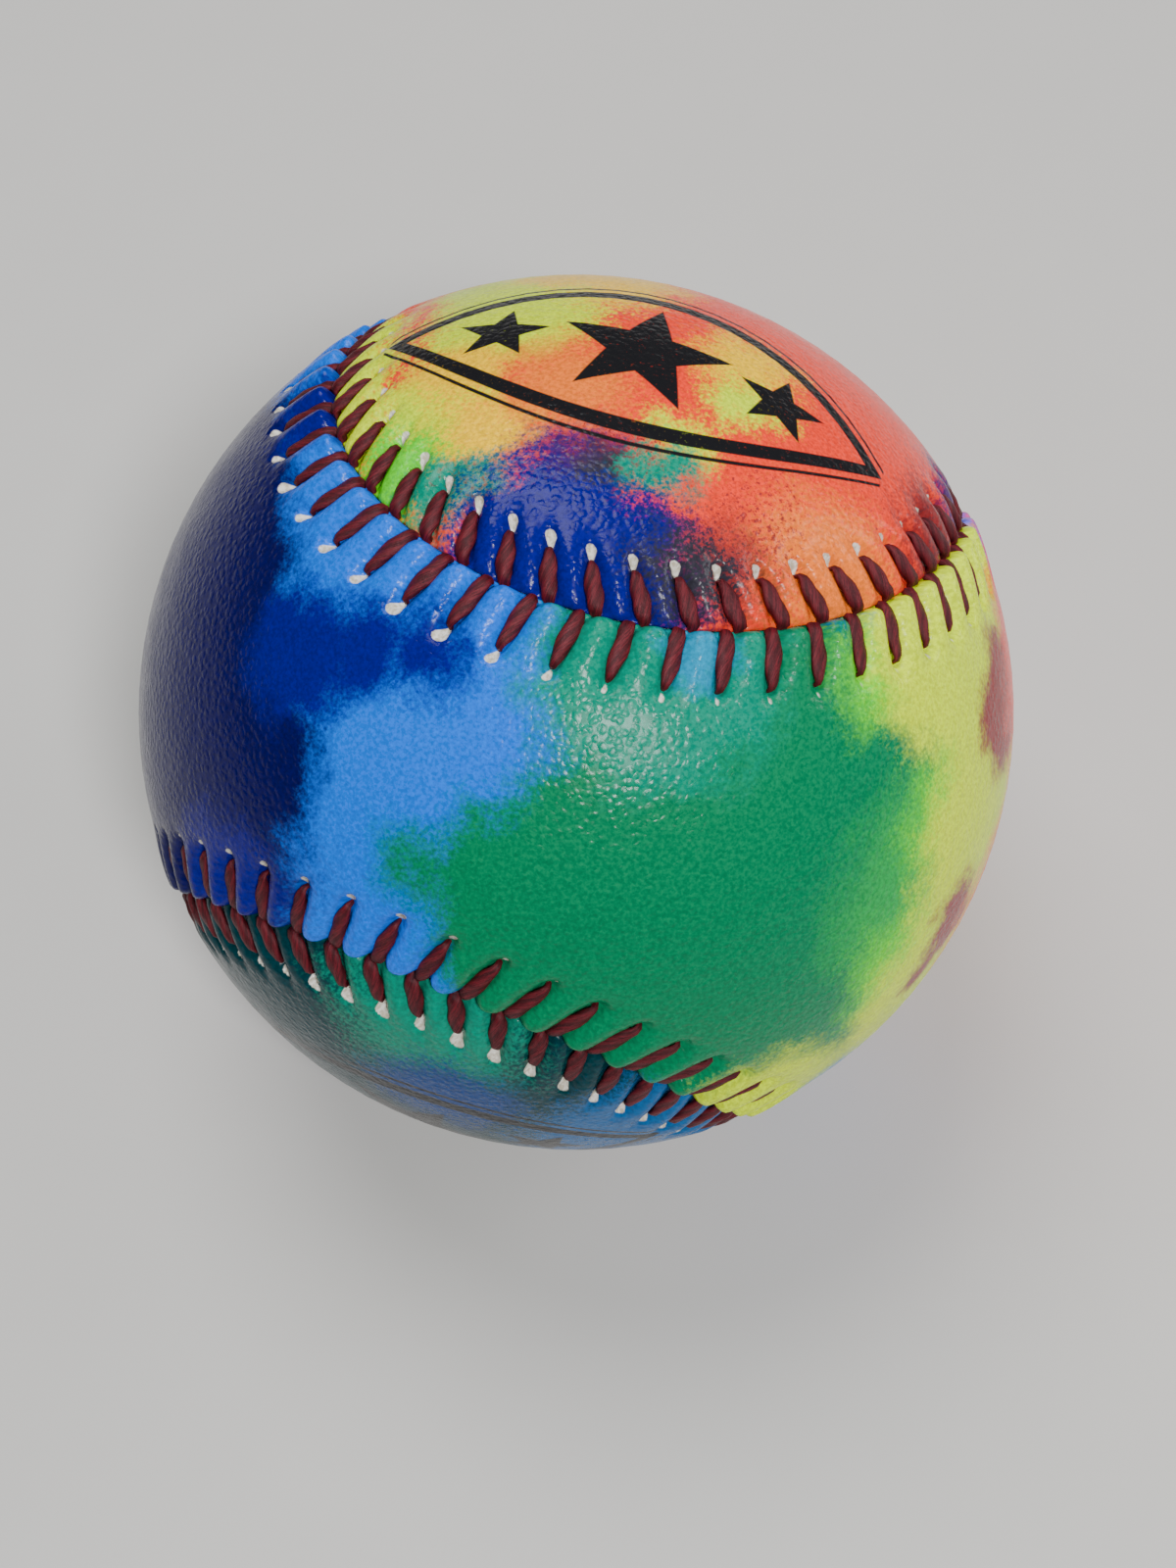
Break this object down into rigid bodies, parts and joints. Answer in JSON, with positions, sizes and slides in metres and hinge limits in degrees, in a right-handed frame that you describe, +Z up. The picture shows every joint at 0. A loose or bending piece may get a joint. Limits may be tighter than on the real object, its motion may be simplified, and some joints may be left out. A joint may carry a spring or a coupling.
{
  "type": "stitched ball",
  "caption": "Round ball with a layered core of cork, rubber and wound yarn under a two-panel tie-dyed cover joined by raised thread stitching.",
  "frame": {"origin": "centre of the ball", "axes": "+Z up through the ball as it lies, out of the upper lobe side; +X to the right and +Y away as the ball is seen from its front; the face that lies down is the middle of cover panel A at -Z"},
  "size_m": [0.0738, 0.0752, 0.0742],
  "materials": {
    "cork": "pressed cork granules, matte",
    "black_rubber": "moulded, dull",
    "red_rubber": "moulded, dull",
    "grey_wool": "wound wool yarn, fuzzy",
    "white_wool": "wound wool yarn, fuzzy",
    "white_cotton": "fine wound cotton yarn, matte",
    "warm_panel": "pebbled, satin, tie-dye print",
    "cool_panel": "pebbled, satin, tie-dye print",
    "seam_thread": "waxed twisted cotton thread"
  },
  "bodies": {
    "root": {"cork_center": "cork", "rubber_gasket_ring": "red_rubber", "inner_rubber_shell_a": "black_rubber", "inner_rubber_shell_b": "black_rubber", "outer_rubber_shell_a": "red_rubber", "outer_rubber_shell_b": "red_rubber", "winding_1_grey_wool": "grey_wool", "winding_2_white_wool": "white_wool", "winding_3_grey_wool": "grey_wool", "winding_4_cotton": "white_cotton", "cover_panel_a": "warm_panel", "cover_panel_b": "cool_panel", "seam_thread_1": "seam_thread", "seam_thread_2": "seam_thread"}
  },
  "joints": []
}
